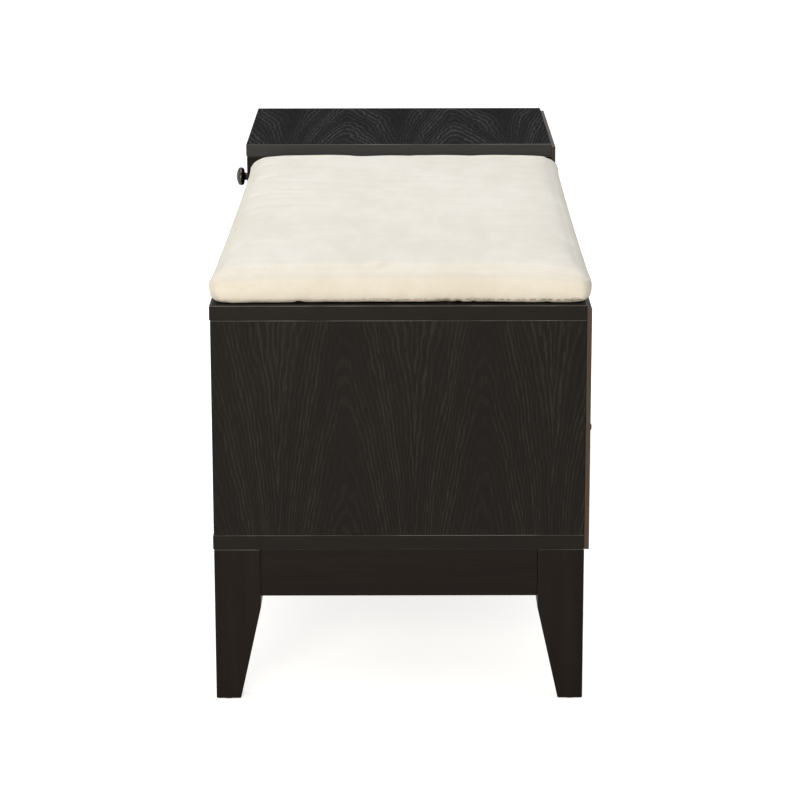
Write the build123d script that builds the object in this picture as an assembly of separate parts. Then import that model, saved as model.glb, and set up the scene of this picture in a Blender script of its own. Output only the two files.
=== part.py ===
from build123d import *
import math
import os

# Storage bench: a low seat section with two doors, and a raised cabinet at its left end with a
# drawer over a door, on a leg frame. Millimetres, +X to the right of someone facing the front,
# +Y towards the back, +Z up. The origin is on the floor at the middle of the whole bench.

# Carcass
bench_length = 1100.0
bench_depth = 400.0  # without the back panel
seat_height = 440.0  # top of the seat board
cabinet_rise = 52.0  # top of the raised cabinet, above the seat board
cabinet_height = seat_height + cabinet_rise
cabinet_width = 331.0  # outside width of the raised cabinet
board = 16.0
front_overhang = 0.9  # of the tops and the base panel
arris = 1.2  # eased edges of the boards
small_arris = 0.8  # of the doors, the drawer front and the aprons
back_sheet = 5.0
back_drop = 4.0  # top edge of the back sheet, below the tops
drawer_opening = 108.0

# Leg frame
leg_height = 171.0  # floor to the underside of the base panel
leg_size = 50.0
foot_size = 27.0
taper_top = 105.0  # height at which the leg's inner faces start to taper
leg_arris = 1.5
apron_height = 53.0
apron_thickness = 18.0
apron_setback = 2.0
block_leg = 58.0  # length of a corner block along each apron
block_height = 45.0
glide_radius = 10.0
glide_height = 1.2
glide_nail_radius = 1.25
glide_nail_length = 14.0

# Fasteners
dowel_radius = 4.0
dowel_in_end = 18.0  # depth in the end of a board
dowel_in_face = 10.0  # depth in the face of a board
dowel_inset = 60.0  # from the front and back edges
dowel_room = 1.0  # glue room past each end of a dowel
bolt_radius = 4.0
bolt_in_leg = 28.0
bolt_stub = 12.0  # stands out of the corner block
bolt_drop = 22.0  # below the base panel
nut_across_flats = 13.0
nut_height = 6.5
washer_radius = 9.0
washer_thickness = 1.6
frame_screw_radius = 2.0
frame_screw_head_radius = 4.0
frame_screw_head = 2.4
frame_screw_bite = 11.0  # depth in the base panel
frame_screw_inset = 34.0  # past the leg, along the apron
frame_screw_setback = 9.0  # behind the apron
back_screw_radius = 1.5
back_screw_bite = 16.0
back_screw_head_radius = 3.65
back_screw_head = 1.5
back_screw_bevel = 0.9
screw_slot_width = 0.9
screw_slot_depth = 0.7

# Doors and their hardware
door_thickness = 16.0
door_side_gap = 1.5
door_end_gap = 2.0  # above and below a door
pin_radius = 3.0
pin_in_door = 20.0
pin_in_bush = 8.5
bush_clearance = 0.05
bush_wall = 1.6
bush_depth = 9.5
bush_flange_radius = 7.0
seat_clearance = 0.3  # between a door and its bush flange, and between a catch and its strike
catch_width = 40.0
catch_depth = 16.0
catch_height = 12.0
catch_inset = 34.0  # catch centre to the free jamb
strike_width = 32.0
strike_height = 10.0
strike_thickness = 1.0

# Knobs
knob_projection = 23.5
knob_radius = 12.5
knob_neck_radius = 4.8
knob_neck_flare = 1.0
knob_base_radius = 6.5
knob_base_thickness = 1.5
knob_head_thickness = 11.0
knob_roll = 4.6  # radius of the head's rolled rim
knob_edge_inset = 30.0  # knob centre to the door's free edge
knob_screw_radius = 2.0
knob_screw_bite = 9.0
knob_screw_head_radius = 4.0
knob_screw_head = 2.4

# Drawer
drawer_gap = 1.5  # between the drawer front and the cabinet sides
drawer_end_gap = 2.0  # above and below the drawer front
drawer_wall = 12.0
drawer_side_height = 80.0
drawer_side_lift = 8.0  # lower edge of the sides, above that of the front
drawer_room = 34.0  # between the drawer box and the back panel
drawer_box_length = bench_depth - board - drawer_room
drawer_sheet = 4.0
drawer_sheet_lift = 8.0  # underside of the bottom, above the lower edge of the sides
groove_depth = 5.0
groove_room = 0.3
drawer_dowel_radius = 3.0
drawer_dowel_in_end = 14.0
drawer_dowel_in_face = 8.0
drawer_dowel_inset = 18.0  # from the upper and lower edges of a side
slide_space = 12.7
slide_height = 35.0
slide_gauge = 1.2
slide_flange = 9.5
slide_clearance = 0.3
slide_screw_radius = 1.75
slide_screw_bite = 8.0
slide_screw_head_radius = 3.5
slide_screw_head = 1.8
slide_screw_inset = 35.0  # from the ends of a slide

# Cushion
cushion_gap = 4.0  # to the cabinet
cushion_setback = 9.0  # from the end of the seat board
cushion_overhang = 1.5  # past the front and the back of the seat board
cushion_length = bench_length - cabinet_width - cushion_gap - cushion_setback
cushion_width = bench_depth + 2 * cushion_overhang
cushion_thickness = 38.5
cushion_corner = 35.0
cushion_edge = 14.0
cushion_cover = 2.0
cushion_clearance = 0.3  # over the seat board

# Stations worked out from the sizes above
x_right = bench_length / 2
x_left = -x_right
x_end = x_right - board
x_step = x_left + cabinet_width
x_cabinet_right = x_step - board
x_cabinet_left = x_left + board
x_middle = (x_step + x_end) / 2
x_bay_right = (x_middle + board / 2 + x_end) / 2
x_bay_left = (x_step + x_middle - board / 2) / 2
x_cabinet = (x_cabinet_left + x_cabinet_right) / 2
y_front = (knob_projection - bench_depth - back_sheet - back_screw_head) / 2
y_back = y_front + bench_depth
y_door_back = y_front + door_thickness
z_floor = leg_height + board
z_seat_under = seat_height - board
z_cabinet_under = cabinet_height - board
z_shelf = z_cabinet_under - drawer_opening
z_shelf_under = z_shelf - board
z_back_seat = seat_height - back_drop
z_back_cabinet = cabinet_height - back_drop
z_drawer = z_shelf + drawer_end_gap
z_side = z_drawer + drawer_side_lift
z_side_top = z_side + drawer_side_height
z_sheet = z_side + drawer_sheet_lift
z_slide = (z_side + z_side_top) / 2
x_box_left = x_cabinet_left + slide_space
x_box_right = x_cabinet_right - slide_space
y_box = y_front + board
y_box_back = y_box + drawer_box_length
UP, DOWN = (0, 0, 1), (0, 0, -1)
LEFT, RIGHT = (-1, 0, 0), (1, 0, 0)
FRONT, BACK = (0, -1, 0), (0, 1, 0)


def slab(x, y, z, ease=0.0):
    """A board between two stations on each axis, with its edges eased by a radius."""
    size = (x[1] - x[0], y[1] - y[0], z[1] - z[0])
    body = Pos(sum(x) / 2, sum(y) / 2, sum(z) / 2) * Box(*size)
    return fillet(body.edges(), ease) if ease else body


def rod(start, direction, radius, length):
    """A round bar that starts at a point and runs along a direction."""
    base = (Align.CENTER, Align.CENTER, Align.MIN)
    return Plane(origin=start, z_dir=direction) * Cylinder(radius, length, align=base)


def hexagon(start, direction, across_flats, length):
    """A hexagonal bar, such as a nut, that starts at a point and runs along a direction."""
    outline = RegularPolygon(across_flats / 2, 6, major_radius=False)
    return Plane(origin=start, z_dir=direction) * extrude(outline, length)


def dowel(joint, into_end, radius, in_end, in_face, room=0.0):
    """A dowel across a joint, or its bore when it is given room past both ends."""
    back = tuple(-step for step in into_end)
    start = Vector(*joint) + Vector(*back) * (in_face + room)
    return rod(start, into_end, radius, in_end + in_face + 2 * room)


# Carcass joints: a point in each joint's plane, and the way into the board whose end meets it

def carcass_joints():
    joints = []
    for y in (y_front + dowel_inset, y_back - dowel_inset):
        for x, under in (
            (x_right - board / 2, z_seat_under),
            (x_middle, z_seat_under),
            (x_step - board / 2, z_cabinet_under),
            (x_left + board / 2, z_cabinet_under),
        ):
            joints.append(((x, y, z_floor), UP))
            joints.append(((x, y, under), DOWN))
        joints.append(((x_step, y, seat_height - board / 2), RIGHT))
        joints.append(((x_cabinet_right, y, z_shelf - board / 2), LEFT))
        joints.append(((x_cabinet_left, y, z_shelf - board / 2), RIGHT))
    return joints


def carcass_dowels(room=0.0):
    sizes = (dowel_radius, dowel_in_end, dowel_in_face, room)
    return [dowel(joint, into_end, *sizes) for joint, into_end in carcass_joints()]


# Back panel screws: one in the middle of each short board, two in each tall one

def back_screw_places():
    middle = (z_floor + z_seat_under) / 2
    third = (z_cabinet_under - z_floor) / 3
    places = [(x_right - board / 2, middle), (x_middle, middle)]
    for x in (x_step - board / 2, x_left + board / 2):
        places += [(x, z_floor + third), (x, z_floor + 2 * third)]
    for x in (x_bay_right, x_bay_left):
        places.append((x, (z_seat_under + z_back_seat) / 2))
    for x in (x_bay_right, x_bay_left, x_cabinet):
        places.append((x, leg_height + board / 2))
    places.append((x_cabinet, z_shelf - board / 2))
    places.append((x_cabinet, (z_cabinet_under + z_back_cabinet) / 2))
    return places


def back_screw(x, z):
    """A slotted pan-head screw through the back sheet into a board's edge."""
    face = y_back + back_sheet
    shank = rod((x, face, z), FRONT, back_screw_radius, back_sheet + back_screw_bite)
    head = rod((x, face, z), BACK, back_screw_head_radius, back_screw_head)
    rim = head.faces().sort_by(Axis.Y)[-1].edges()
    head = chamfer(rim, back_screw_bevel)
    slot = slab(
        (x - back_screw_head_radius, x + back_screw_head_radius),
        (face + back_screw_head - screw_slot_depth, face + back_screw_head),
        (z - screw_slot_width / 2, z + screw_slot_width / 2),
    )
    return shank + (head - slot)


def back_screw_bores():
    length = back_sheet + back_screw_bite
    return [
        rod((x, y_back + back_sheet, z), FRONT, back_screw_radius, length)
        for x, z in back_screw_places()
    ]


# Leg frame: every corner is the front left one, turned about Z

CORNERS = (
    ("front_left", x_left, y_front, 0),
    ("front_right", x_right, y_front, 90),
    ("rear_right", x_right, y_back, 180),
    ("rear_left", x_left, y_back, 270),
)


def at_corner(x, y, turn):
    return Pos(x, y, 0) * Rot(0, 0, turn)


def leg():
    """A square leg, straight outside and tapered on its two inner faces."""
    outline = [
        (0, glide_height),
        (foot_size, glide_height),
        (leg_size, taper_top),
        (leg_size, leg_height),
        (0, leg_height),
    ]
    across = extrude(Plane.XZ * make_face(Polyline(*outline, close=True)), -leg_size)
    along = extrude(Plane.YZ * make_face(Polyline(*outline, close=True)), leg_size)
    body = fillet((across & along).edges(), leg_arris)
    nail = (foot_size / 2, foot_size / 2, glide_height)
    body -= rod(nail, UP, glide_nail_radius, glide_nail_length)
    return body - leg_bolt(room=dowel_room)


def corner_block():
    """A glued block behind a leg, notched round it and cut off at 45 degrees."""
    inner = apron_setback + apron_thickness
    reach = leg_size + block_leg
    outline = [
        (leg_size, inner),
        (reach, inner),
        (inner, reach),
        (inner, leg_size),
        (leg_size, leg_size),
    ]
    body = extrude(make_face(Polyline(*outline, close=True)), block_height)
    body = Pos(0, 0, leg_height - block_height) * body
    return body - leg_bolt() - frame_screw()


def leg_bolt(room=0.0):
    """The hanger bolt of a leg, with its washer and nut on the corner block."""
    slant = 2 ** 0.5
    block_face = (apron_setback + apron_thickness + leg_size + block_leg) / slant
    z = leg_height - bolt_drop
    deep = leg_size * slant - bolt_in_leg - room
    way = (1, 1, 0)
    body = rod((deep / slant, deep / slant, z), way, bolt_radius, block_face + bolt_stub - deep)
    face = (block_face / slant, block_face / slant, z)
    body += rod(face, way, washer_radius, washer_thickness)
    nut_at = (block_face + washer_thickness) / slant
    return body + hexagon((nut_at, nut_at, z), way, nut_across_flats, nut_height)


def frame_screw():
    """A screw up through a corner block into the base panel."""
    inner = apron_setback + apron_thickness
    x = leg_size + frame_screw_inset
    y = inner + frame_screw_setback
    under = leg_height - block_height
    shank = rod((x, y, under), UP, frame_screw_radius, block_height + frame_screw_bite)
    return shank + rod((x, y, under), DOWN, frame_screw_head_radius, frame_screw_head)


def floor_glide():
    """A nail-on glide under a foot."""
    centre = foot_size / 2
    disc = rod((centre, centre, 0), UP, glide_radius, glide_height)
    return disc + rod((centre, centre, glide_height), UP, glide_nail_radius, glide_nail_length)


def frame_parts():
    parts = {}
    for name, x, y, turn in CORNERS:
        parts["leg_" + name] = at_corner(x, y, turn) * leg()
    places = [at_corner(x, y, turn) for _, x, y, turn in CORNERS]
    parts["corner_blocks"] = [place * corner_block() for place in places]
    parts["leg_bolts"] = [place * leg_bolt() for place in places]
    parts["frame_screws"] = [place * frame_screw() for place in places]
    parts["floor_glides"] = [place * floor_glide() for place in places]
    near, far = apron_setback, apron_setback + apron_thickness
    z = (leg_height - apron_height, leg_height)
    x = (x_left + leg_size, x_right - leg_size)
    y = (y_front + leg_size, y_back - leg_size)
    parts["apron_front"] = slab(x, (y_front + near, y_front + far), z, small_arris)
    parts["apron_rear"] = slab(x, (y_back - far, y_back - near), z, small_arris)
    parts["apron_left"] = slab((x_left + near, x_left + far), y, z, small_arris)
    parts["apron_right"] = slab((x_right - far, x_right - near), y, z, small_arris)
    rail = (-apron_thickness / 2, apron_thickness / 2)
    parts["cross_rail"] = slab(rail, (y_front + far, y_back - far), z)
    return parts


# Carcass

def carcass_parts():
    y = (y_front, y_back)
    y_top = (y_front - front_overhang, y_back)
    low = (z_floor, z_seat_under)
    tall = (z_floor, z_cabinet_under)
    half = board / 2
    boards = {
        "seat_top": slab((x_step, x_right), y_top, (z_seat_under, seat_height), arris),
        "end_panel": slab((x_end, x_right), y, low, arris),
        "centre_partition": slab((x_middle - half, x_middle + half), y, low, arris),
        "cabinet_partition": slab((x_cabinet_right, x_step), y, tall, arris),
        "cabinet_side": slab((x_left, x_cabinet_left), y, tall, arris),
        "drawer_shelf": slab(
            (x_cabinet_left, x_cabinet_right), y, (z_shelf_under, z_shelf), arris
        ),
        "cabinet_top": slab((x_left, x_step), y_top, (z_cabinet_under, cabinet_height), arris),
        "base_panel": slab((x_left, x_right), y_top, (leg_height, z_floor), arris),
    }
    bores = carcass_dowels(room=dowel_room) + back_screw_bores()
    bores += [bush_bore(*place) for place in bush_places()]
    bores += slide_screws(x_cabinet_left, RIGHT) + slide_screws(x_cabinet_right, LEFT)
    bores += [at_corner(x, y, turn) * frame_screw() for _, x, y, turn in CORNERS]
    parts = {name: cut(body, bores) for name, body in boards.items()}
    parts["carcass_dowels"] = carcass_dowels()
    sheet = slab((x_left, x_right), (y_back, y_back + back_sheet), (leg_height, z_back_seat))
    sheet += slab((x_left, x_step), (y_back, y_back + back_sheet), (leg_height, z_back_cabinet))
    parts["back_panel"] = cut(sheet, back_screw_bores())
    parts["back_panel_screws"] = [back_screw(x, z) for x, z in back_screw_places()]
    return parts


def boxes_meet(first, second):
    a, b = first.bounding_box(), second.bounding_box()
    return (
        a.min.X < b.max.X and b.min.X < a.max.X
        and a.min.Y < b.max.Y and b.min.Y < a.max.Y
        and a.min.Z < b.max.Z and b.min.Z < a.max.Z
    )


def cut(body, tools):
    """A body less the tools that reach it."""
    near = [tool for tool in tools if boxes_meet(body, tool)]
    return body - near if near else body


# Doors: name, hinge jamb, free jamb, ceiling

DOORS = (
    ("seat_door_right", x_end, x_middle + board / 2, z_seat_under),
    ("seat_door_left", x_step, x_middle - board / 2, z_seat_under),
    ("cabinet_door", x_cabinet_left, x_cabinet_right, z_shelf_under),
)


def pivot_x(hinge_jamb, free_jamb):
    way = 1 if free_jamb > hinge_jamb else -1
    return hinge_jamb + way * (door_side_gap + door_thickness / 2)


def bush_places():
    """Point on the carcass at each bush's mouth, and the way out of the bush."""
    places = []
    for _, hinge_jamb, free_jamb, ceiling in DOORS:
        x = pivot_x(hinge_jamb, free_jamb)
        y = y_front + door_thickness / 2
        places += [((x, y, z_floor), UP), ((x, y, ceiling), DOWN)]
    return places


def bush_bore(mouth, out):
    inward = DOWN if out == UP else UP
    return rod(mouth, inward, pin_radius + bush_clearance + bush_wall, bush_depth)


def bush(mouth, out):
    """A flanged nylon bush in the carcass, open at its mouth."""
    flange = door_end_gap - seat_clearance
    body = bush_bore(mouth, out) + rod(mouth, out, bush_flange_radius, flange)
    top = Vector(*mouth) + Vector(*out) * flange
    inward = DOWN if out == UP else UP
    hole = pin_radius + bush_clearance
    return body - rod(top, inward, hole, flange + pin_in_bush + seat_clearance)


def door_panel(hinge_jamb, free_jamb, ceiling):
    """A door whose hinge edge is a half round about its pins."""
    way = 1 if free_jamb > hinge_jamb else -1
    pivot = pivot_x(hinge_jamb, free_jamb)
    free_edge = free_jamb - way * door_side_gap
    low, high = z_floor + door_end_gap, ceiling - door_end_gap
    y_mid = y_front + door_thickness / 2
    outline = Pos((pivot + free_edge) / 2, y_mid) * Rectangle(
        abs(free_edge - pivot), door_thickness
    )
    outline += Pos(pivot, y_mid) * Circle(door_thickness / 2)
    body = Pos(0, 0, low) * extrude(outline, high - low)
    eased = body.edges().filter_by_position(Axis.Z, low, low)
    eased += body.edges().filter_by_position(Axis.Z, high, high)
    eased += body.edges().filter_by(Axis.Z).filter_by_position(
        Axis.X, free_edge - small_arris / 2, free_edge + small_arris / 2
    )
    return fillet(eased, small_arris)


def door_pin(x, z, into_door):
    """A pivot pin, half in the door and half in its bush."""
    y = y_front + door_thickness / 2
    start = z - into_door[2] * (door_end_gap + pin_in_bush)
    return rod((x, y, start), into_door, pin_radius, pin_in_bush + door_end_gap + pin_in_door)


def door_parts(name, hinge_jamb, free_jamb, ceiling):
    way = 1 if free_jamb > hinge_jamb else -1
    x_pin = pivot_x(hinge_jamb, free_jamb)
    x_knob = free_jamb - way * (door_side_gap + knob_edge_inset)
    z_knob = (z_floor + ceiling) / 2
    pins = [
        door_pin(x_pin, z_floor + door_end_gap, UP),
        door_pin(x_pin, ceiling - door_end_gap, DOWN),
    ]
    panel = door_panel(hinge_jamb, free_jamb, ceiling)
    x_strike = free_jamb - way * catch_inset
    z_strike = ceiling - door_end_gap - catch_height / 2
    strike = slab(
        (x_strike - strike_width / 2, x_strike + strike_width / 2),
        (y_door_back, y_door_back + strike_thickness),
        (z_strike - strike_height / 2, z_strike + strike_height / 2),
    )
    screw = knob_screw(x_knob, z_knob, door_thickness)
    return {
        name: panel - pins - [screw],
        name + "_pins": pins,
        name + "_knob": knob(x_knob, z_knob),
        name + "_knob_screw": screw,
        name + "_strike": strike,
    }


def magnetic_catches():
    """A catch block under each ceiling, just behind its door's strike."""
    front = y_door_back + strike_thickness + seat_clearance
    catches = []
    for _, hinge_jamb, free_jamb, ceiling in DOORS:
        way = 1 if free_jamb > hinge_jamb else -1
        x = free_jamb - way * catch_inset
        catches.append(
            slab(
                (x - catch_width / 2, x + catch_width / 2),
                (front, front + catch_depth),
                (ceiling - catch_height, ceiling),
            )
        )
    return catches


# Knobs

def knob(x, z):
    """A turned knob: a foot, a waisted neck, a flattened domed head and a screw hole."""
    under = knob_projection - knob_head_thickness
    waist = knob_neck_radius + knob_neck_flare
    roll_x = knob_radius - knob_roll
    roll_z = under + knob_roll
    rise = knob_projection - roll_z
    dome = (roll_x**2 + rise**2 - knob_roll**2) / (2 * (rise - knob_roll))
    dome_z = knob_projection - dome
    lean = math.degrees(math.atan2(roll_z - dome_z, roll_x))
    outline = [
        Line((knob_screw_radius, 0), (knob_base_radius, 0)),
        Line((knob_base_radius, 0), (knob_base_radius, knob_base_thickness)),
        ThreePointArc(
            (knob_base_radius, knob_base_thickness),
            (knob_neck_radius, (knob_base_thickness + under) / 2),
            (waist, under),
        ),
        Line((waist, under), (roll_x, under)),
        CenterArc((roll_x, roll_z), knob_roll, -90, 90 + lean),
        CenterArc((0, dome_z), dome, lean, 90 - lean),
        Line((0, knob_projection), (0, knob_screw_bite)),
        Line((0, knob_screw_bite), (knob_screw_radius, knob_screw_bite)),
        Line((knob_screw_radius, knob_screw_bite), (knob_screw_radius, 0)),
    ]
    body = revolve(Plane.XZ * make_face(outline), Axis.Z)
    return Pos(x, y_front, z) * Rot(90, 0, 0) * body


def knob_screw(x, z, thickness):
    """The screw that holds a knob from behind the front."""
    back = y_front + thickness
    shank = rod((x, back, z), FRONT, knob_screw_radius, thickness + knob_screw_bite)
    return shank + rod((x, back, z), BACK, knob_screw_head_radius, knob_screw_head)


# Drawer

def slide_screws(wall, out):
    """The screws of a slide, through its web into the board whose face it lies on."""
    inward = LEFT if out == RIGHT else RIGHT
    face = wall + out[0] * slide_gauge
    screws = []
    for y in (
        y_box + slide_screw_inset,
        (y_box + y_box_back) / 2,
        y_box_back - slide_screw_inset,
    ):
        at = (face, y, z_slide)
        shank = rod(at, inward, slide_screw_radius, slide_gauge + slide_screw_bite)
        screws.append(shank + rod(at, out, slide_screw_head_radius, slide_screw_head))
    return screws


def slide_member(wall, out, height):
    """A C-shaped slide rail: its web on a wall, its two flanges reaching out."""
    way = out[0]
    y = (y_box, y_box_back)
    web_x = sorted((wall, wall + way * slide_gauge))
    flange_x = sorted((wall, wall + way * slide_flange))
    low, high = z_slide - height / 2, z_slide + height / 2
    body = slab(web_x, y, (low, high))
    body += slab(flange_x, y, (low, low + slide_gauge))
    body += slab(flange_x, y, (high - slide_gauge, high))
    return body - slide_screws(wall, out)


def drawer_joints():
    """A point in each joint's plane, and the way into the board whose end meets it."""
    joints = []
    for z in (z_side + drawer_dowel_inset, z_side_top - drawer_dowel_inset):
        for x in (x_box_left + drawer_wall / 2, x_box_right - drawer_wall / 2):
            joints.append(((x, y_box, z), BACK))
        y = y_box_back - drawer_wall / 2
        joints.append(((x_box_left + drawer_wall, y, z), RIGHT))
        joints.append(((x_box_right - drawer_wall, y, z), LEFT))
    return joints


def drawer_dowels(room=0.0):
    sizes = (drawer_dowel_radius, drawer_dowel_in_end, drawer_dowel_in_face, room)
    return [dowel(joint, into_end, *sizes) for joint, into_end in drawer_joints()]


def drawer_parts():
    front_x = (x_cabinet_left + drawer_gap, x_cabinet_right - drawer_gap)
    front_z = (z_drawer, z_cabinet_under - drawer_end_gap)
    inner = (x_box_left + drawer_wall, x_box_right - drawer_wall)
    side_z = (z_side, z_side_top)
    sheet_top = z_sheet + drawer_sheet
    groove = slab(
        (inner[0] - groove_depth, inner[1] + groove_depth),
        (y_box - groove_depth, y_box_back),
        (z_sheet, sheet_top + groove_room),
    )
    bottom = slab(
        (inner[0] - groove_depth + groove_room, inner[1] + groove_depth - groove_room),
        (y_box - groove_depth + groove_room, y_box_back),
        (z_sheet, sheet_top),
    )
    knob_x = (front_x[0] + front_x[1]) / 2
    knob_z = (front_z[0] + front_z[1]) / 2
    screw = knob_screw(knob_x, knob_z, board)
    bores = drawer_dowels(room=dowel_room)
    front = slab(front_x, (y_front, y_box), front_z, small_arris)
    left_screws = slide_screws(x_box_left, LEFT)
    right_screws = slide_screws(x_box_right, RIGHT)
    left = slab((x_box_left, inner[0]), (y_box, y_box_back), side_z)
    right = slab((inner[1], x_box_right), (y_box, y_box_back), side_z)
    back = slab(inner, (y_box_back - drawer_wall, y_box_back), (sheet_top, z_side_top))
    nested = slide_height - 2 * slide_gauge - 2 * slide_clearance
    return {
        "drawer_front": cut(front, bores + [screw, groove]),
        "drawer_side_left": cut(left, bores + left_screws + [groove]),
        "drawer_side_right": cut(right, bores + right_screws + [groove]),
        "drawer_back": cut(back, bores),
        "drawer_bottom": bottom,
        "drawer_dowels": drawer_dowels(),
        "drawer_knob": knob(knob_x, knob_z),
        "drawer_knob_screw": screw,
        "slide_outer_left": slide_member(x_cabinet_left, RIGHT, slide_height),
        "slide_outer_right": slide_member(x_cabinet_right, LEFT, slide_height),
        "slide_outer_screws": slide_screws(x_cabinet_left, RIGHT)
        + slide_screws(x_cabinet_right, LEFT),
        "slide_inner_left": slide_member(x_box_left, LEFT, nested),
        "slide_inner_right": slide_member(x_box_right, RIGHT, nested),
        "slide_inner_screws": left_screws + right_screws,
    }


# Cushion

def cushion_form(inset):
    """The cushion's outer form, or the form inside its cover when it is inset."""
    length, width = cushion_length - 2 * inset, cushion_width - 2 * inset
    thickness = cushion_thickness - 2 * inset
    body = extrude(RectangleRounded(length, width, cushion_corner - inset), thickness)
    rims = body.edges().filter_by_position(Axis.Z, 0, 0)
    rims += body.edges().filter_by_position(Axis.Z, thickness, thickness)
    body = fillet(rims, cushion_edge - inset)
    x = x_step + cushion_gap + cushion_length / 2
    return Pos(x, (y_front + y_back) / 2, seat_height + cushion_clearance + inset) * body


def cushion_parts():
    core = cushion_form(cushion_cover)
    return {"cushion_cover": cushion_form(0) - core, "cushion_core": core}


parts = carcass_parts() | frame_parts() | drawer_parts() | cushion_parts()
parts["door_bushes"] = [bush(*place) for place in bush_places()]
parts["magnetic_catches"] = magnetic_catches()
for door in DOORS:
    parts |= door_parts(*door)

os.makedirs("parts", exist_ok=True)
for node, shape in parts.items():
    export_step(Compound(children=shape) if isinstance(shape, list) else shape, f"parts/{node}.step")
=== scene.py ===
import math
import random

import bmesh
import bpy
from mathutils import Euler, Matrix, Vector, noise


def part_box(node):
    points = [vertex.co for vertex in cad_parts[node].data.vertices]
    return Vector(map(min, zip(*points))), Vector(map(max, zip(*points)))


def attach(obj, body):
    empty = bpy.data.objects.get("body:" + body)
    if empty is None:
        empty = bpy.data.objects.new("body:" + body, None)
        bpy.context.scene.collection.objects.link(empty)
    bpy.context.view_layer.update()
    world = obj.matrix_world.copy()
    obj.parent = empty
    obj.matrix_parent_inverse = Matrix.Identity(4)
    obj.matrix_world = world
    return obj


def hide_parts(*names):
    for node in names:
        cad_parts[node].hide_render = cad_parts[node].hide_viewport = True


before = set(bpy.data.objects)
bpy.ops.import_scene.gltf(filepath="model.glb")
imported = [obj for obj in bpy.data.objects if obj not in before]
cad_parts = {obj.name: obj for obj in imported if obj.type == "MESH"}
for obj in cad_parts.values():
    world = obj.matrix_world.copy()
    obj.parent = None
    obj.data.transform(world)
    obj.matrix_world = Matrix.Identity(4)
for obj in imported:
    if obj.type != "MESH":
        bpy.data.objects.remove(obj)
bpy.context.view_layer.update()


# Camera: stands off the seat end of the bench, a little above it, looking along its length
# through a long lens, so that the end panel is square-on and the tops are foreshortened.
camera_distance = 2.990
camera_height = 1.080
camera_aside = 0.0135
camera_lens = 130.05
camera_sensor = 36.0
camera_tilt = math.radians(13.95)
camera_turn = math.radians(0.07)
camera_roll = math.radians(-0.11)
end_low, end_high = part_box("end_panel")

camera_data = bpy.data.cameras.new("studio_camera")
camera_data.lens = camera_lens
camera_data.sensor_width = camera_sensor
camera = bpy.data.objects.new("studio_camera", camera_data)
bpy.context.scene.collection.objects.link(camera)
quarter_turn = math.radians(90)
facing = Euler((quarter_turn - camera_tilt, 0, quarter_turn + camera_turn)).to_matrix()
facing = facing @ Matrix.Rotation(camera_roll, 3, "Z")
camera_place = (end_high.x + camera_distance, camera_aside, camera_height)
camera.matrix_world = Matrix.Translation(camera_place) @ facing.to_4x4()
bpy.context.scene.camera = camera
bpy.context.scene.view_settings.view_transform = "Standard"


# Floor and light: a pale seamless floor under a soft overhead light, with a warmer light in
# front of the seat end and weaker ones along both sides. Little light comes from low down.
floor_size = 60.0
floor_white = (0.88, 0.855, 0.815, 1.0)
floor_lift = 0.74
white = (1.0, 1.0, 1.0, 1.0)
sky_horizon = (0.05, 0.05, 0.052, 1.0)
sky_zenith = (0.70, 0.73, 0.78, 1.0)


def link(tree, value, socket):
    """Feed a socket from another socket, or set its own value."""
    if isinstance(value, bpy.types.NodeSocket):
        tree.links.new(value, socket)
    else:
        socket.default_value = value


def calc(tree, operation, *values):
    """One step of arithmetic in a material."""
    step = tree.nodes.new("ShaderNodeMath")
    step.operation = operation
    for socket, value in zip(step.inputs, values):
        link(tree, value, socket)
    return step.outputs[0]


def blend_colours(tree, share, first, second):
    """A colour between two colours."""
    mix = tree.nodes.new("ShaderNodeMix")
    mix.data_type = "RGBA"
    for number, value in ((0, share), (6, first), (7, second)):
        link(tree, value, mix.inputs[number])
    return mix.outputs[2]


def new_material(name, roughness, specular=0.5, metallic=0.0):
    """A material, its node tree and its surface shader."""
    material = bpy.data.materials.new(name)
    material.use_nodes = True
    tree = material.node_tree
    surface = tree.nodes["Principled BSDF"]
    surface.inputs["Roughness"].default_value = roughness
    surface.inputs["Specular IOR Level"].default_value = specular
    surface.inputs["Metallic"].default_value = metallic
    return material, tree, surface


def shown_rays(tree):
    """1 for the rays that show the background, by themselves or in metal or glass."""
    rays = tree.nodes.new("ShaderNodeLightPath").outputs
    shown = calc(tree, "MAXIMUM", rays["Is Camera Ray"], rays["Is Glossy Ray"])
    return calc(tree, "MAXIMUM", shown, rays["Is Transmission Ray"])


floor_mesh = bmesh.new()
bmesh.ops.create_grid(floor_mesh, x_segments=1, y_segments=1, size=floor_size / 2)
floor_data = bpy.data.meshes.new("floor")
floor_mesh.to_mesh(floor_data)
floor_mesh.free()
floor = bpy.data.objects.new("floor", floor_data)
bpy.context.scene.collection.objects.link(floor)

floor_material, tree, surface = new_material("pale_floor", roughness=0.9, specular=0.1)
surface.inputs["Base Color"].default_value = floor_white
glow = tree.nodes.new("ShaderNodeEmission")
glow.inputs["Color"].default_value = white
link(tree, calc(tree, "MULTIPLY", shown_rays(tree), floor_lift), glow.inputs["Strength"])
both = tree.nodes.new("ShaderNodeAddShader")
tree.links.new(surface.outputs[0], both.inputs[0])
tree.links.new(glow.outputs[0], both.inputs[1])
tree.links.new(both.outputs[0], tree.nodes["Material Output"].inputs["Surface"])
floor_data.materials.append(floor_material)

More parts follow.
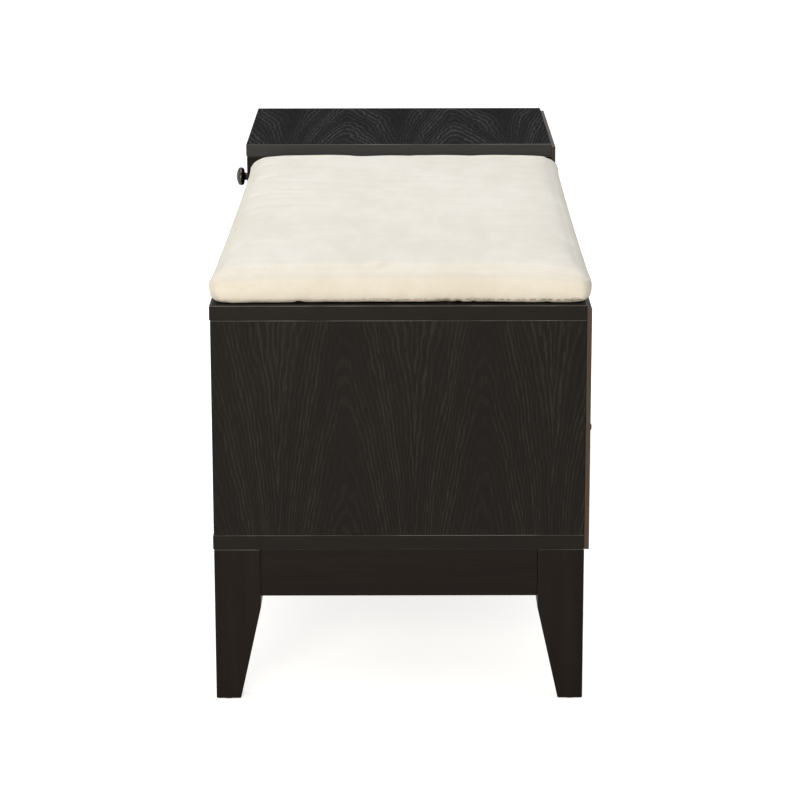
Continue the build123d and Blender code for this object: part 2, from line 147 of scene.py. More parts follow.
sky = bpy.data.worlds.new("studio_sky")
bpy.context.scene.world = sky
sky.use_nodes = True
tree = sky.node_tree
way = tree.nodes.new("ShaderNodeTexCoord")
axes = tree.nodes.new("ShaderNodeSeparateXYZ")
tree.links.new(way.outputs["Generated"], axes.inputs[0])
height = calc(tree, "POWER", calc(tree, "MAXIMUM", axes.outputs["Z"], 0.0), 2.0)
sky_colour = blend_colours(tree, height, sky_horizon, sky_zenith)
sky_colour = blend_colours(tree, shown_rays(tree), sky_colour, white)
tree.links.new(sky_colour, tree.nodes["Background"].inputs["Color"])


def soft_light(name, place, aim, size, power, colour):
    """A square soft light at a place, aimed at a point."""
    data = bpy.data.lights.new(name, "AREA")
    data.shape = "SQUARE"
    data.size = size
    data.energy = power
    data.color = colour
    lamp = bpy.data.objects.new(name, data)
    lamp.location = place
    lamp.rotation_euler = (Vector(aim) - Vector(place)).to_track_quat("-Z", "Y").to_euler()
    bpy.context.scene.collection.objects.link(lamp)


bench_middle, seat_side, seat_end = (0, 0, 0.3), (0.1, 0, 0.3), (0.5, 0, 0.35)
cool, coolest = (0.95, 0.98, 1.0), (0.95, 0.97, 1.0)
warm, warmest = (1.0, 0.97, 0.93), (1.0, 0.93, 0.79)
soft_light("overhead_light", (0.0, -0.1, 2.7), seat_side, size=1.2, power=33, colour=cool)
soft_light("end_light", (3.5, -0.7, 0.9), seat_end, size=1.6, power=70, colour=warmest)
soft_light("front_light", (-0.6, -3.2, 1.6), bench_middle, size=1.6, power=22, colour=warm)
soft_light("rear_light", (-0.8, 3.0, 1.7), bench_middle, size=1.6, power=10, colour=coolest)


# Boards: particle board under an open-grained veneer, stained near black, lacquered satin and
# dowelled together. The veneer is laid in leaves side by side, each with the same arched
# flat-sawn figure, and the board edges carry a plain straight-grained strip.
X, Y, Z = 0, 1, 2
leaf_width = 0.147
ring_wander_scale = (22, 8, 0.3)  # noise scales per metre: across the grain, along it, per leaf
ring_ripple_scale = (140, 60, 0.5)
pore_scale = (850, 42, 850)  # across the grain, along it, through the board
cloud_scale = (22, 8, 22)
highlight_patch_scale = (9, 9, 9)
stain_dark = (0.0090, 0.0077, 0.0071, 1.0)
# The next colour is a painted highlight for the eased edges that face up.
edge_highlight_colour = (0.180, 0.172, 0.165, 1.0)
panel_light = (0.046, 0.039, 0.034, 1.0)
top_light = (0.064, 0.064, 0.064, 1.0)


def object_axes(tree):
    """The three Object coordinates, and the object's own normal along each axis."""
    place = tree.nodes.new("ShaderNodeTexCoord")
    outputs = []
    for name in ("Object", "Normal"):
        split = tree.nodes.new("ShaderNodeSeparateXYZ")
        tree.links.new(place.outputs[name], split.inputs[0])
        outputs.append(split.outputs)
    return outputs


def speckle(tree, spot, scales, detail=2.0, roughness=0.5):
    """Noise from 0 to 1, with its own scale along each direction, per metre."""
    point = tree.nodes.new("ShaderNodeCombineXYZ")
    for socket, value, scale in zip(point.inputs, spot, scales):
        link(tree, calc(tree, "MULTIPLY", value, scale), socket)
    texture = tree.nodes.new("ShaderNodeTexNoise")
    texture.inputs["Scale"].default_value = 1.0
    texture.inputs["Detail"].default_value = detail
    texture.inputs["Roughness"].default_value = roughness
    tree.links.new(point.outputs[0], texture.inputs["Vector"])
    return texture.outputs["Fac"]


def ramp(tree, value, low, high):
    """A smooth step from 0 at low to 1 at high."""
    step = tree.nodes.new("ShaderNodeMapRange")
    step.interpolation_type = "SMOOTHSTEP"
    link(tree, value, step.inputs["Value"])
    step.inputs["From Min"].default_value = low
    step.inputs["From Max"].default_value = high
    return step.outputs["Result"]


def add_bump(tree, surface, height, strength, distance):
    """Raise the surface where a height from 0 to 1 is high, by a distance in metres."""
    bump = tree.nodes.new("ShaderNodeBump")
    bump.inputs["Strength"].default_value = strength
    bump.inputs["Distance"].default_value = distance
    tree.links.new(height, bump.inputs["Height"])
    tree.links.new(bump.outputs[0], surface.inputs["Normal"])


def squareness(tree, normals):
    """How nearly a surface faces along one of the object's axes, up to 1."""
    sizes = [calc(tree, "ABSOLUTE", normals[axis]) for axis in (X, Y, Z)]
    return calc(tree, "MAXIMUM", calc(tree, "MAXIMUM", sizes[0], sizes[1]), sizes[2])


def painted_edge_highlight(tree, axes, normals):
    """A painted highlight, up to 1 along the eased edges that face up, patchy along them, and
    less elsewhere.
    """
    edge = calc(tree, "SUBTRACT", 1.0, ramp(tree, squareness(tree, normals), 0.78, 0.95))
    up = ramp(tree, normals[Z], 0.1, 0.5)
    edge = calc(tree, "MULTIPLY", edge, calc(tree, "MULTIPLY_ADD", up, 0.88, 0.12))
    patchy = ramp(tree, speckle(tree, axes, highlight_patch_scale, 3.0, 0.6), 0.36, 0.64)
    return calc(tree, "MULTIPLY", edge, calc(tree, "MULTIPLY_ADD", patchy, 0.75, 0.35))


def growth_rings(tree, aside, along, leaf, middle, off_edge, figure):
    """The turning angle of the rings in a leaf, which arch over its heart."""
    reach = calc(tree, "MULTIPLY_ADD", aside, aside, figure["heart"] ** 2)
    ring = calc(tree, "MULTIPLY_ADD", aside, figure["lean"], calc(tree, "SQRT", reach))
    rise = calc(tree, "MULTIPLY", calc(tree, "SUBTRACT", along, middle), figure["climb"])
    ring = calc(tree, "ADD", ring, calc(tree, "MULTIPLY", rise, off_edge))
    wander = speckle(tree, (aside, along, leaf), ring_wander_scale, 3.0, 0.55)
    ring = calc(tree, "MULTIPLY_ADD", wander, figure["wander"], ring)
    ripple = speckle(tree, (aside, along, leaf), ring_ripple_scale, 2.0, 0.6)
    ring = calc(tree, "MULTIPLY_ADD", ripple, figure["spacing"] * 0.8, ring)
    return calc(tree, "MULTIPLY", ring, math.tau / figure["spacing"])


def veneer(name, directions, leaf_start, middle, figure, light, gain, gloss):
    """Stained veneer: its leaves lie side by side along the first direction and run along
    the second. The figure says how far apart its rings are, how fast its arches climb from
    the middle and lean, how deep their hearts are, how much straighter the grain runs at the
    edges of a leaf, how much it fades at the heart and at those edges, how light the base
    tone between the rings is on the face, and how much painted sheen lightens the strips
    along the board's edges."""
    material, tree, surface = new_material(name, roughness=0.42, specular=gloss)
    axes, normals = object_axes(tree)
    u, v, w = (axes[direction] for direction in directions)
    from_start = calc(tree, "SUBTRACT", u, leaf_start)
    leaf = calc(tree, "FLOOR", calc(tree, "DIVIDE", from_start, leaf_width))
    heart = calc(tree, "MULTIPLY_ADD", leaf, leaf_width, leaf_width / 2)
    aside = calc(tree, "SUBTRACT", from_start, heart)
    off_heart = calc(tree, "ABSOLUTE", aside)
    in_flank = ramp(tree, off_heart, 0.04 * leaf_width, 0.26 * leaf_width)
    at_edge = ramp(tree, off_heart, 0.25 * leaf_width, 0.5 * leaf_width)
    face = ramp(tree, calc(tree, "ABSOLUTE", normals[directions[2]]), 0.6, 0.9)

    # The grain: lines along the rings, in stronger and weaker zones, broken up by the pores.
    off_edge = calc(tree, "MULTIPLY_ADD", at_edge, -figure["calm"], 1.0)
    turn = growth_rings(tree, aside, v, leaf, middle, off_edge, figure)
    line = ramp(tree, calc(tree, "SINE", turn), -0.3, 0.9)
    zone = ramp(tree, calc(tree, "SINE", calc(tree, "MULTIPLY", turn, 0.17)), -0.9, 0.5)
    pore = ramp(tree, speckle(tree, (u, v, w), pore_scale, 2.0, 0.6), 0.40, 0.64)
    grain = calc(tree, "MULTIPLY", line, calc(tree, "MULTIPLY_ADD", pore, 0.6, 0.4))
    grain = calc(tree, "MULTIPLY_ADD", pore, 0.25, grain)
    grain = calc(tree, "MULTIPLY", grain, calc(tree, "MULTIPLY_ADD", zone, 0.6, 0.4))

    # How strongly it shows: less at the heart and the edges of a leaf, hardly on the strips.
    fade_heart, fade_edge = figure["fade"]
    shown = calc(tree, "MULTIPLY_ADD", in_flank, fade_heart, 1 - fade_heart)
    shown = calc(tree, "MULTIPLY", shown, calc(tree, "MULTIPLY_ADD", at_edge, -fade_edge, 1.0))
    shown = calc(tree, "MULTIPLY", shown, calc(tree, "MULTIPLY_ADD", face, 0.95, 0.05))
    grain = calc(tree, "MULTIPLY", grain, shown)

    # The stain's tone, from the grain, slow clouds, the base tone and the painted sheen on the
    # strips, with a painted highlight on the eased edges that face up.
    cloud = speckle(tree, (u, v, w), cloud_scale, 3.0, 0.55)
    tone = calc(tree, "MULTIPLY_ADD", grain, gain, calc(tree, "MULTIPLY", cloud, 0.10))
    # The second figure is painted sheen that lightens the strips along the board's edges.
    on_face, strip_sheen = figure["ground_and_sheen"]
    ground_and_sheen = calc(tree, "MULTIPLY_ADD", face, on_face - strip_sheen, strip_sheen)
    colour = blend_colours(tree, calc(tree, "ADD", tone, ground_and_sheen), stain_dark, light)
    edge = painted_edge_highlight(tree, axes, normals)
    tree.links.new(blend_colours(tree, edge, colour, edge_highlight_colour), surface.inputs["Base Color"])
    tree.links.new(calc(tree, "MULTIPLY_ADD", grain, 0.12, 0.40), surface.inputs["Roughness"])
    pores = calc(tree, "MULTIPLY", grain, -1.0)
    add_bump(tree, surface, pores, strength=0.35, distance=0.0003)
    return material


def finish_nodes(names, material):
    """Give CAD nodes their finish."""
    for name in names:
        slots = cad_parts[name].data.materials
        slots.clear()
        slots.append(material)


# Where a leaf starts: across the bench on its uprights and tops, along it on the doors, and
# up it on the drawer. The arches climb from about the middle of each board.
leaves_at = end_low.y + 0.070
cabinet_leaves_at = leaves_at - 0.0185
door_leaves_at = 0.02
drawer_leaves_at = 0.342
mid_height = (end_low.z + end_high.z) / 2
cabinet_middle = sum(corner.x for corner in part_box("cabinet_top")) / 2
cabinet_arches_from = cabinet_middle - 0.05
board_gain, board_gloss = 0.34, 0.04
cabinet_gain, cabinet_gloss = 0.60, 0.0
upright_figure = {
    "spacing": 0.0044, "climb": 0.19, "lean": 0.0, "heart": 0.012, "wander": 0.016,
    "calm": 0.7, "fade": (0.6, 0.0), "ground_and_sheen": (0.0, 0.0),
}
seat_figure = {
    "spacing": 0.0050, "climb": -0.20, "lean": -0.15, "heart": 0.012, "wander": 0.016,
    "calm": 0.0, "fade": (0.6, 0.0), "ground_and_sheen": (0.0, 0.09),
}
# The cabinet top's strips are lifted far towards its light tone, as a painted reflection of the
# cushion on its near edge.
cabinet_figure = {
    "spacing": 0.0062, "climb": -0.155, "lean": -0.26, "heart": 0.010, "wander": 0.019,
    "calm": 0.55, "fade": (0.0, 0.65), "ground_and_sheen": (0.12, 0.86),
}
upright_veneer = veneer(
    "espresso_veneer_upright", (Y, Z, X), leaves_at, mid_height,
    upright_figure, panel_light, board_gain, board_gloss,
)
seat_veneer = veneer(
    "espresso_veneer_seat", (Y, X, Z), leaves_at, 0.0,
    seat_figure, panel_light, board_gain, board_gloss,
)
cabinet_veneer = veneer(
    "espresso_veneer_cabinet", (Y, X, Z), cabinet_leaves_at, cabinet_arches_from,
    cabinet_figure, top_light, cabinet_gain, cabinet_gloss,
)
front_veneer = veneer(
    "espresso_veneer_front", (X, Z, Y), door_leaves_at, mid_height,
    upright_figure, panel_light, board_gain, board_gloss,
)
drawer_veneer = veneer(
    "espresso_veneer_drawer", (Z, X, Y), drawer_leaves_at, cabinet_middle,
    upright_figure, panel_light, board_gain, board_gloss,
)
finish_nodes(
    ["end_panel", "centre_partition", "cabinet_partition", "cabinet_side"], upright_veneer
)
finish_nodes(["seat_top", "base_panel", "drawer_shelf"], seat_veneer)
finish_nodes(["cabinet_top"], cabinet_veneer)
finish_nodes(["seat_door_left", "seat_door_right", "cabinet_door"], front_veneer)
finish_nodes(["drawer_front"], drawer_veneer)


# Back panel: a thin hardboard sheet stained dark on both faces, with its raw brown fibre
# showing along its sawn edges, held by black slotted screws.
raw_dark, raw_light = (0.031, 0.019, 0.0125, 1), (0.070, 0.048, 0.035, 1)
faced_dark, faced_light = (0.0125, 0.0105, 0.0095, 1), (0.020, 0.017, 0.0155, 1)
fibre_scale = (700, 700, 700)
stain_scale = (14, 14, 14)


def back_board():
    """Hardboard, stained on its faces and raw where the normal lies in the sheet."""
    material, tree, surface = new_material("back_board", roughness=0.55, specular=0.2)
    axes, normals = object_axes(tree)
    fibre = speckle(tree, axes, fibre_scale, 3.0, 0.7)
    stain = speckle(tree, axes, stain_scale, 3.0, 0.5)
    raw = blend_colours(tree, fibre, raw_dark, raw_light)
    faced = blend_colours(tree, stain, faced_dark, faced_light)
    face = ramp(tree, calc(tree, "ABSOLUTE", normals[Y]), 0.4, 0.8)
    tree.links.new(blend_colours(tree, face, raw, faced), surface.inputs["Base Color"])
    add_bump(tree, surface, fibre, strength=0.2, distance=0.0002)
    return material


finish_nodes(["back_panel"], back_board())


# Leg frame: tapered legs and aprons of solid wood under the same stain, bolted together at the
# corners. Only a faint straight grain shows.
solid_dark = (0.0066, 0.0043, 0.0034, 1.0)
solid_light = (0.0125, 0.0088, 0.0073, 1.0)
grain_scale = (380, 14, 380)
band_scale = (60, 2.5, 60)


def straight_grain(name, directions, dark, light, roughness, specular, edge_highlight_share):
    """Solid wood with a straight grain along the second direction."""
    material, tree, surface = new_material(name, roughness, specular)
    axes, normals = object_axes(tree)
    spot = [axes[direction] for direction in directions]
    grain = speckle(tree, spot, grain_scale, 4.0, 0.6)
    band = speckle(tree, spot, band_scale, 2.0, 0.5)
    tone = calc(tree, "MULTIPLY_ADD", grain, 0.55, calc(tree, "MULTIPLY", band, 0.55))
    tone = ramp(tree, tone, 0.27, 0.83)
    colour = blend_colours(tree, tone, dark, light)
    # A painted highlight along the eased edges that face up, in the share given.
    edge = calc(tree, "MULTIPLY", painted_edge_highlight(tree, axes, normals), edge_highlight_share)
    tree.links.new(blend_colours(tree, edge, colour, edge_highlight_colour), surface.inputs["Base Color"])
    rough = calc(tree, "MULTIPLY_ADD", grain, 0.14, roughness - 0.07)
    tree.links.new(rough, surface.inputs["Roughness"])
    add_bump(tree, surface, grain, strength=0.15, distance=0.0002)
    return material


for name, directions, nodes in (
    ("leg", (X, Z, Y), [f"leg_{c}_{s}" for c in ("front", "rear") for s in ("left", "right")]),
    ("long_apron", (Y, X, Z), ["apron_front", "apron_rear"]),
    ("end_apron", (X, Y, Z), ["apron_left", "apron_right"]),
):
    wood = straight_grain(
        f"espresso_{name}_wood", directions, solid_dark, solid_light,
        roughness=0.42, specular=0.06, edge_highlight_share=0.7,
    )
    finish_nodes(nodes, wood)


# Unseen wood: the corner blocks, the cross rail and the dowels are bare, and the drawer box
# is light wood under a clear lacquer, glued and dowelled at its corners.
bare_dark, bare_light = (0.36, 0.235, 0.13, 1.0), (0.56, 0.41, 0.26, 1.0)
for name, directions, nodes in (
    ("rail", (X, Y, Z), ["cross_rail", "corner_blocks"]),
    ("dowel", (X, Y, Z), ["carcass_dowels", "drawer_dowels"]),
):
    wood = straight_grain(
        f"bare_{name}_wood", directions, bare_dark, bare_light,
        roughness=0.65, specular=0.3, edge_highlight_share=0.0,
    )
    finish_nodes(nodes, wood)
for name, directions, nodes in (
    ("side", (X, Y, Z), ["drawer_side_left", "drawer_side_right"]),
    ("back", (Y, X, Z), ["drawer_back"]),
    ("bottom", (X, Y, Z), ["drawer_bottom"]),
):
    wood = straight_grain(
        f"drawer_{name}_wood", directions, bare_dark, bare_light,
        roughness=0.38, specular=0.5, edge_highlight_share=0.0,
    )
    finish_nodes(nodes, wood)


# Metal and plastic: turned knobs in dark bronze, zinc-plated slides, pins, bolts and plates,
# black screws in the back, and moulded catches, glides and bushes.
bronze_dark, bronze_light = (0.044, 0.039, 0.034, 1), (0.080, 0.071, 0.062, 1)
zinc_dark, zinc_light = (0.48, 0.48, 0.46, 1), (0.66, 0.66, 0.63, 1)
black_dark, black_light = (0.030, 0.030, 0.030, 1), (0.055, 0.055, 0.055, 1)
catch_brown, bush_white = (0.05, 0.032, 0.022, 1), (0.56, 0.54, 0.49, 1)
cast_scale = (900, 900, 900)


def metal(name, dark, light, roughness, scale):
    """Metal with a slightly uneven tone and polish."""
    material, tree, surface = new_material(name, roughness, metallic=1.0)
    axes, _ = object_axes(tree)
    patch = speckle(tree, axes, (scale, scale, scale), 4.0, 0.6)
    tree.links.new(blend_colours(tree, patch, dark, light), surface.inputs["Base Color"])
    rough = calc(tree, "MULTIPLY_ADD", patch, 0.2, roughness - 0.1)
    tree.links.new(rough, surface.inputs["Roughness"])
    add_bump(tree, surface, patch, strength=0.08, distance=0.0002)
    return material


def moulded(name, colour, roughness):
    """Moulded plastic with a fine cast texture."""
    material, tree, surface = new_material(name, roughness)
    axes, _ = object_axes(tree)
    cast = speckle(tree, axes, cast_scale, 2.0, 0.5)
    darker = tuple(0.85 * c for c in colour[:3]) + (1.0,)
    tree.links.new(blend_colours(tree, cast, darker, colour), surface.inputs["Base Color"])
    add_bump(tree, surface, cast, strength=0.1, distance=0.0002)
    return material


doors = ("seat_door_right", "seat_door_left", "cabinet_door")
bronze = metal("dark_bronze", bronze_dark, bronze_light, roughness=0.32, scale=260)
zinc = metal("zinc_plate", zinc_dark, zinc_light, roughness=0.38, scale=420)
black = metal("black_steel", black_dark, black_light, roughness=0.42, scale=420)
brown_plastic = moulded("brown_plastic", catch_brown, roughness=0.45)
white_nylon = moulded("white_nylon", bush_white, roughness=0.5)
finish_nodes([f"{front}_knob" for front in (*doors, "drawer")], bronze)
finish_nodes(["drawer_knob_screw", "leg_bolts", "frame_screws"], zinc)
for door in doors:
    finish_nodes([f"{door}_{part}" for part in ("pins", "strike", "knob_screw")], zinc)
for rail in ("inner", "outer"):
    finish_nodes([f"slide_{rail}_{part}" for part in ("left", "right", "screws")], zinc)
finish_nodes(["back_panel_screws"], black)
finish_nodes(["magnetic_catches", "floor_glides"], brown_plastic)
finish_nodes(["door_bushes"], white_nylon)


# Cushion: a loose foam pad in a brushed cream microfibre cover, sewn from a top with boxed
# sides and a bottom panel. The cover is blown up a little by simulation, then creased across
# its top, gathered along its bottom seam and flattened where it lies on the seat.
cushion_low, cushion_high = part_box("cushion_cover")
pad_low = cushion_low + Vector((-0.0005, 0.0005, 0.0))
pad_high = cushion_high + Vector((0.0025, 0.0035, 0.0010))
pad_corner = 0.017
pad_corner_segments = 8
pad_top_edge = 0.0190
pad_bottom_edge = 0.0020
pad_edge_segments = 5
pad_voxel = 0.006
pad_pressure = 4.0
pad_shrink = -0.012
pad_cap = 0.0060
pad_frames = 20


def rounded_block(low, high, corner, top_edge, bottom_edge):
    """A closed block, rounded in plan at its corners and along its two rims."""
    mesh = bmesh.new()
    bmesh.ops.create_cube(mesh, size=1.0)
    bmesh.ops.scale(mesh, vec=high - low, verts=mesh.verts)
    bmesh.ops.translate(mesh, vec=(low + high) / 2, verts=mesh.verts)
    upright = [e for e in mesh.edges if abs(e.verts[0].co.z - e.verts[1].co.z) > top_edge]
    bmesh.ops.bevel(
        mesh, geom=upright, offset=corner, segments=pad_corner_segments, profile=0.5,
        affect="EDGES", material=-1,
    )
    for level, edge in ((high.z, top_edge), (low.z, bottom_edge)):
        rim = [
            e for e in mesh.edges
            if all(abs(v.co.z - level) < 1e-5 for v in e.verts)
            and any(abs(f.normal.z) < 0.5 for f in e.link_faces)
        ]
        bmesh.ops.bevel(
            mesh, geom=rim, offset=edge, segments=pad_edge_segments, profile=0.5,
            affect="EDGES", material=-1,
        )
    return mesh


def fitted(piece, low, high):
    """Scale a piece's mesh to fill a box."""
    corners = [vertex.co for vertex in piece.data.vertices]
    least = Vector([min(c[axis] for c in corners) for axis in (X, Y, Z)])
    most = Vector([max(c[axis] for c in corners) for axis in (X, Y, Z)])
    scale = [(high[axis] - low[axis]) / (most[axis] - least[axis]) for axis in (X, Y, Z)]
    piece.data.transform(
        Matrix.Translation(low) @ Matrix.Diagonal((*scale, 1.0)) @ Matrix.Translation(-least)
    )


def simulated(piece, voxel, pressure, shrink, frames):
    """The piece remeshed in even cells and blown up as cloth."""
    remesh = piece.modifiers.new("remesh", "REMESH")
    remesh.mode = "VOXEL"
    remesh.voxel_size = voxel
    graph = bpy.context.evaluated_depsgraph_get()
    even = bpy.data.meshes.new_from_object(piece.evaluated_get(graph))
    piece.modifiers.clear()
    piece.data = even
    rest = [vertex.co.copy() for vertex in even.vertices]
    cloth = piece.modifiers.new("cloth", "CLOTH")
    cloth.settings.quality = 6
    cloth.settings.use_pressure = True
    cloth.settings.uniform_pressure_force = pressure
    cloth.settings.shrink_min = shrink
    cloth.settings.bending_stiffness = 0.4
    cloth.settings.effector_weights.gravity = 0.0
    cloth.point_cache.frame_end = frames
    for number in range(1, frames + 1):
        bpy.context.scene.frame_set(number)
    graph = bpy.context.evaluated_depsgraph_get()
    blown = bpy.data.meshes.new_from_object(piece.evaluated_get(graph))
    piece.modifiers.clear()
    for vertex, start in zip(blown.vertices, rest):
        moved = vertex.co - start
        if moved.length > pad_cap:
            vertex.co = start + moved * (pad_cap / moved.length)
    piece.data = blown
    bpy.context.scene.frame_set(1)


def subdivided(piece):
    """The piece with one smooth subdivision applied."""
    smooth = piece.modifiers.new("subdivision", "SUBSURF")
    smooth.levels = smooth.render_levels = 1
    graph = bpy.context.evaluated_depsgraph_get()
    piece.data = bpy.data.meshes.new_from_object(piece.evaluated_get(graph))
    piece.modifiers.clear()


block = rounded_block(pad_low, pad_high, pad_corner, pad_top_edge, pad_bottom_edge)
cushion_data = bpy.data.meshes.new("seat_cushion")
block.to_mesh(cushion_data)
block.free()
cushion = bpy.data.objects.new("seat_cushion", cushion_data)
bpy.context.scene.collection.objects.link(cushion)
simulated(cushion, pad_voxel, pad_pressure, pad_shrink, pad_frames)
fitted(cushion, pad_low, pad_high)
subdivided(cushion)

# Creases: each starts at a side of the top and runs in across it, fading out as it goes, and a
# few short ones lie further in. The last is a deep dimple in the middle of the near rim.
crease_seed = 11
side_creases = ((-1, 22, 0.21), (1, 13, 0.13))  # side, how many, and the longest
side_crease_margin = 0.02
side_crease_inset = 0.012
side_crease_lean = 0.28
side_crease_shortest = 0.05
side_crease_width, side_crease_depth = (0.004, 0.009), (0.0004, 0.0012)
inner_creases = 9
inner_crease_margin = 0.05
inner_crease_from_front, inner_crease_from_rear = 0.06, 0.14
inner_crease_shift, inner_crease_run = (-0.02, 0.02), (0.06, 0.14)
inner_crease_width, inner_crease_depth = (0.005, 0.010), (0.0003, 0.0007)
luck = random.Random(crease_seed)
creases = []
for side, count, longest in side_creases:
    for _ in range(count):
        start = Vector((
            luck.uniform(cushion_low.x + side_crease_margin, cushion_high.x - side_crease_margin),
            cushion_low.y + side_crease_inset if side < 0 else cushion_high.y - side_crease_inset,
        ))
        lean = luck.uniform(-side_crease_lean, side_crease_lean)
        length = luck.uniform(side_crease_shortest, longest)
        end = start + Vector((math.sin(lean), -side * math.cos(lean))) * length
        width = luck.uniform(*side_crease_width)
        creases.append((start, end, width, luck.uniform(*side_crease_depth)))
for _ in range(inner_creases):
    start = Vector((
        luck.uniform(cushion_low.x + inner_crease_margin, cushion_high.x - inner_crease_margin),
        luck.uniform(
            cushion_low.y + inner_crease_from_front, cushion_high.y - inner_crease_from_rear
        ),
    ))
    end = start + Vector((luck.uniform(*inner_crease_shift), luck.uniform(*inner_crease_run)))
    width = luck.uniform(*inner_crease_width)
    creases.append((start, end, width, luck.uniform(*inner_crease_depth)))
near_rim = cushion_high.x - 0.012
dimple = (Vector((near_rim, -0.014)), Vector((near_rim - 0.008, 0.016)), 0.0040, 0.0024)
creases.append(dimple)


def hump(off, width):
    """1 at the middle of a smooth hump, and near 0 past its width."""
    return math.exp(-((off / width) ** 2))


def ease(share):
    """A smooth step from 0 to 1."""
    share = max(0.0, min(1.0, share))
    return share * share * (3 - 2 * share)


crease_overrun = 0.1
crease_bow = 0.06
ridge_off, ridge_width, ridge_rise = 1.9, 1.4, 0.65  # beside the fold, against its own sizes


def crease_depth(place, crease):
    """How far a crease moves a point of the top: down in its fold, up beside it."""
    start, end, width, depth = crease
    run = end - start
    share = (place - start).dot(run) / run.length_squared
    if not -crease_overrun < share < 1 + crease_overrun:
        return 0.0
    bow = crease_bow * run.length * math.sin(math.pi * share)
    off = (place - start).dot(Vector((-run.y, run.x)) / run.length) - bow
    fade_in = (share + crease_overrun) * 5
    fade_out = (1 + crease_overrun - share) * 1.1
    fade = max(0.0, min(1.0, fade_in, fade_out))
    ridge = hump(off - ridge_off * width, ridge_width * width)
    return depth * fade * fade * (ridge_rise * ridge - hump(off, width))


# The top is crowned and its cloth a little loose. The pad is flat where it lies on the seat,
# and a seam runs round it a little way in from the rim.
cushion_middle = (cushion_low + cushion_high) / 2
cushion_half = (cushion_high - cushion_low) / 2
seat_plane = cushion_low.z
top_crown = 0.0016
top_swell = 0.0011
top_sink = 0.0012
swell_scale, ripple_scale = (16, 7), (42, 16)  # noise scales per metre, along and across
flat_band = 0.0105
middle_fullness, far_fullness, corner_slump = 0.05, 0.05, 0.11
rim_seam = 0.0009
rim_seam_inset = 0.010
rim_seam_width = 0.0024
stitch_scale = (120, 120)


def cloth_noise(place, scale, layer):
    """Noise over the pad in plan, from about -1 to 1, from a layer of its own."""
    return noise.noise(Vector((place.x * scale[0], place.y * scale[1], layer)))


def top_relief(place, edge_x, edge_y):
    """How far the creases, the loose cloth and the crown lift a point of the top."""
    flat = Vector((place.x, place.y))
    drop = sum(crease_depth(flat, crease) for crease in creases)
    swell = cloth_noise(place, swell_scale, 3.0)
    swell += 0.5 * cloth_noise(place, ripple_scale, 9.0)
    crown = top_crown * ease(edge_x * 5) * ease(edge_y * 4)
    return drop + top_swell * swell + crown - top_sink


def settled(height, place, up, edge_x, edge_y, from_end, from_front):
    """A height over the seat after the pad has settled: flat below, fuller along its middle
    and towards the cabinet, lower at its near corners, and grooved at the seam of its rim."""
    if height < flat_band:
        height *= max(0.0, height / flat_band) ** 2
    corner = ease(1 - edge_x * 7) * ease(1 - edge_y * 3.2) * (1 - 0.8 * from_end)
    along_middle = 1 - (2 * from_front - 1) ** 2
    height *= 1 + middle_fullness * along_middle + far_fullness * from_end - corner_slump * corner
    inset = min(edge_x * cushion_half.x, edge_y * cushion_half.y)
    stitches = 0.6 + cloth_noise(place, stitch_scale, 7.5)
    return height - up * rim_seam * stitches * hump(inset - rim_seam_inset, rim_seam_width)


# In plan the pad is narrower at the cabinet, and its sides pull in between its corners. Its
# bottom seam is gathered, most at the near end and towards the rear, and flares at that end.
far_front_in = 0.0075
far_rear_out = 0.0020
side_pull = 0.0012
side_bulge = 0.0018
seam_height = 0.0022
seam_reach = 0.0030
seam_fade = 0.008
seam_pinch = 0.0004
seam_gather = 0.0015
seam_lift = 0.0030
gather_scale, pucker_scale = (85, 85), (165, 165)
far_gather, near_more = 0.35, 0.65
front_gather, rear_more = 0.55, 0.45
end_flare = 0.0028
flare_fade = 0.005
seat_clearance = 0.0002


def gathered(place, height, out):
    """A point of a side after the seam below it has been gathered."""
    gather = cloth_noise(place, gather_scale, 0.5)
    gather += 0.7 * cloth_noise(place, pucker_scale, 4.5)
    strength = far_gather + near_more * ease((place.x - cushion_middle.x) / cushion_half.x)
    strength *= front_gather + rear_more * ease((place.y + 0.02) / 0.08)
    strength *= math.exp(-max(0.0, height - seam_height) / seam_fade)
    pinch = seam_pinch * hump(height - seam_height, seam_reach)
    place = place - out * (pinch + seam_gather * strength * (gather + 0.05))
    place.z += seam_lift * strength * max(0.0, gather - 0.2)
    share = height / (2 * cushion_half.z)
    place += out * side_bulge * (max(0.0, math.sin(math.pi * share)) - 0.25)
    place.x += end_flare * max(0.0, out.x) * math.exp(-max(0.0, height) / flare_fade)
    return place


surface_normals = [vertex.normal.copy() for vertex in cushion.data.vertices]
for vertex, normal in zip(cushion.data.vertices, surface_normals):
    place = vertex.co.copy()
    up = ease((normal.z - 0.25) / 0.6)
    edge_x = 1 - abs(place.x - cushion_middle.x) / cushion_half.x
    edge_y = 1 - abs(place.y - cushion_middle.y) / cushion_half.y
    from_end = (cushion_high.x - place.x) / (2 * cushion_half.x)
    from_front = (place.y - cushion_low.y) / (2 * cushion_half.y)
    if up > 0:
        place.z += up * top_relief(place, edge_x, edge_y)
    height = place.z - seat_plane
    height = settled(height, place, up, edge_x, edge_y, from_end, from_front)
    place.z = seat_plane + height
    place.y += from_end * (far_front_in * (1 - from_front) + far_rear_out * from_front)
    place.y += side_pull * math.sin(math.pi * from_end) * (1 - 2 * from_front)
    place.x += side_pull * math.sin(math.pi * from_front) * (2 * from_end - 1)
    out = Vector((normal.x, normal.y, 0))
    if out.length > 0.1:
        place = gathered(place, height, out.normalized())
    place.z = max(place.z, seat_plane + seat_clearance)
    vertex.co = place
for polygon in cushion.data.polygons:
    polygon.use_smooth = True


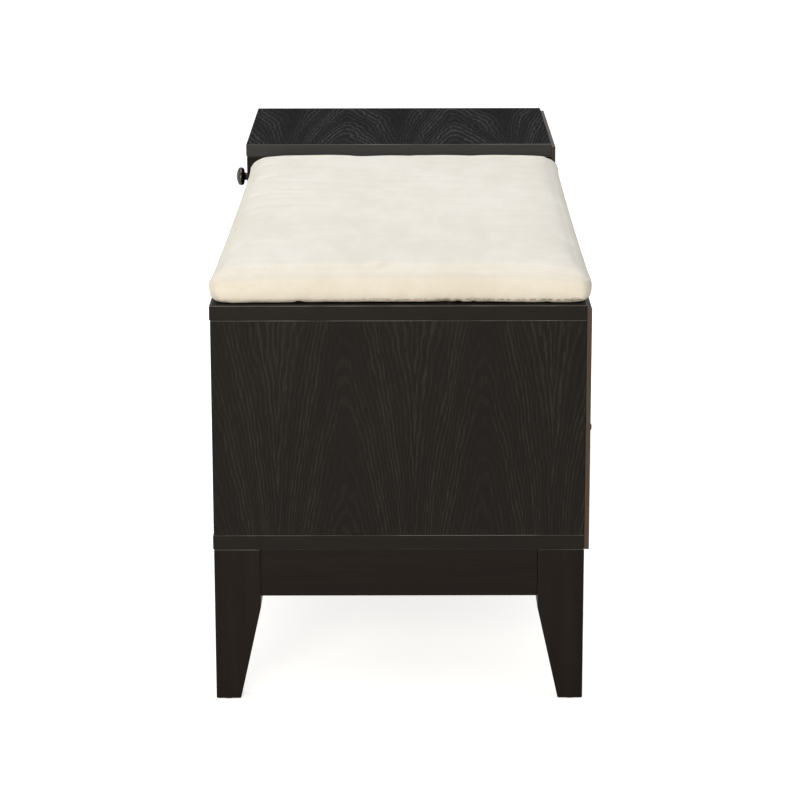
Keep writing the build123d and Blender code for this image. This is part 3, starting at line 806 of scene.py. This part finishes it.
# The cover: short-piled microfibre, brushed across the bench, with painted shade that darkens it
# a little over the rims. Painted shadow marks the puckers of the bottom seam as a broken line.
pile_shade, pile_light = (0.720, 0.671, 0.588, 1), (0.778, 0.736, 0.664, 1)
# The second colour on the next line is painted shade over the rims.
pile_deep, rim_painted_shade = (0.60, 0.54, 0.44, 1), (0.44, 0.41, 0.35, 1)
# The next colour is painted shadow in the puckers of the bottom seam.
pucker_painted_shadow = (0.20, 0.175, 0.13, 1)
seam_line = 0.0042
seam_line_width = 0.0010
seam_wave = 0.0044
wave_scale, seam_scale = (38, 38, 0), (150, 150, 0)
nap_scale = (1600, 1600, 1600)
brushed_scale, drift_scale = (16, 44, 44), (6, 13, 16)
sheen_tint = (1.0, 0.97, 0.92, 1.0)


def seam_painted_shadow(tree, axes):
    """1 in the painted shadow of the puckers along the bottom seam, which shows most towards the
    rear.
    """
    wave = calc(tree, "MULTIPLY", speckle(tree, axes, wave_scale, 2.0, 0.5), seam_wave)
    above = calc(tree, "SUBTRACT", axes[Z], seat_plane + seam_line - 0.5 * seam_wave)
    off = calc(tree, "DIVIDE", calc(tree, "SUBTRACT", above, wave), seam_line_width)
    line = calc(tree, "EXPONENT", calc(tree, "MULTIPLY", calc(tree, "MULTIPLY", off, off), -1.0))
    pucker = ramp(tree, speckle(tree, axes, seam_scale, 2.0, 0.6), 0.38, 0.60)
    rear = calc(tree, "MULTIPLY_ADD", ramp(tree, axes[Y], -0.14, 0.12), 0.85, 0.15)
    return calc(tree, "MULTIPLY", calc(tree, "MULTIPLY", line, pucker), rear)


def microfibre():
    """Cream microfibre with its nap, its brushed streaks, painted shade over its rims and painted
    shadow in its seam's puckers.
    """
    material, tree, surface = new_material("cream_microfibre", roughness=0.92, specular=0.08)
    axes, normals = object_axes(tree)
    nap = speckle(tree, axes, nap_scale, 2.0, 0.6)
    brushed = speckle(tree, axes, brushed_scale, 4.0, 0.6)
    drift = speckle(tree, axes, drift_scale, 3.0, 0.5)
    tone = calc(tree, "MULTIPLY_ADD", brushed, 0.7, calc(tree, "MULTIPLY", drift, 0.8))
    tone = ramp(tree, tone, 0.50, 1.00)
    # Painted shade over the rims, where the surface turns away from the object's axes.
    rim = calc(tree, "SUBTRACT", 1.0, ramp(tree, squareness(tree, normals), 0.76, 0.98))
    colour = blend_colours(tree, tone, pile_shade, pile_light)
    for mark, strength, shade in (
        (nap, 0.12, pile_deep),
        (rim, 0.19, rim_painted_shade),
        (seam_painted_shadow(tree, axes), 0.72, pucker_painted_shadow),
    ):
        colour = blend_colours(tree, calc(tree, "MULTIPLY", mark, strength), colour, shade)
    tree.links.new(colour, surface.inputs["Base Color"])
    surface.inputs["Sheen Weight"].default_value = 0.15
    surface.inputs["Sheen Roughness"].default_value = 0.5
    surface.inputs["Sheen Tint"].default_value = sheen_tint
    relief = calc(tree, "MULTIPLY_ADD", brushed, 0.8, calc(tree, "MULTIPLY", nap, 0.25))
    add_bump(tree, surface, relief, strength=0.22, distance=0.0010)
    return material


cushion.data.materials.clear()
cushion.data.materials.append(microfibre())
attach(cushion, "carcass")
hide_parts("cushion_cover", "cushion_core")
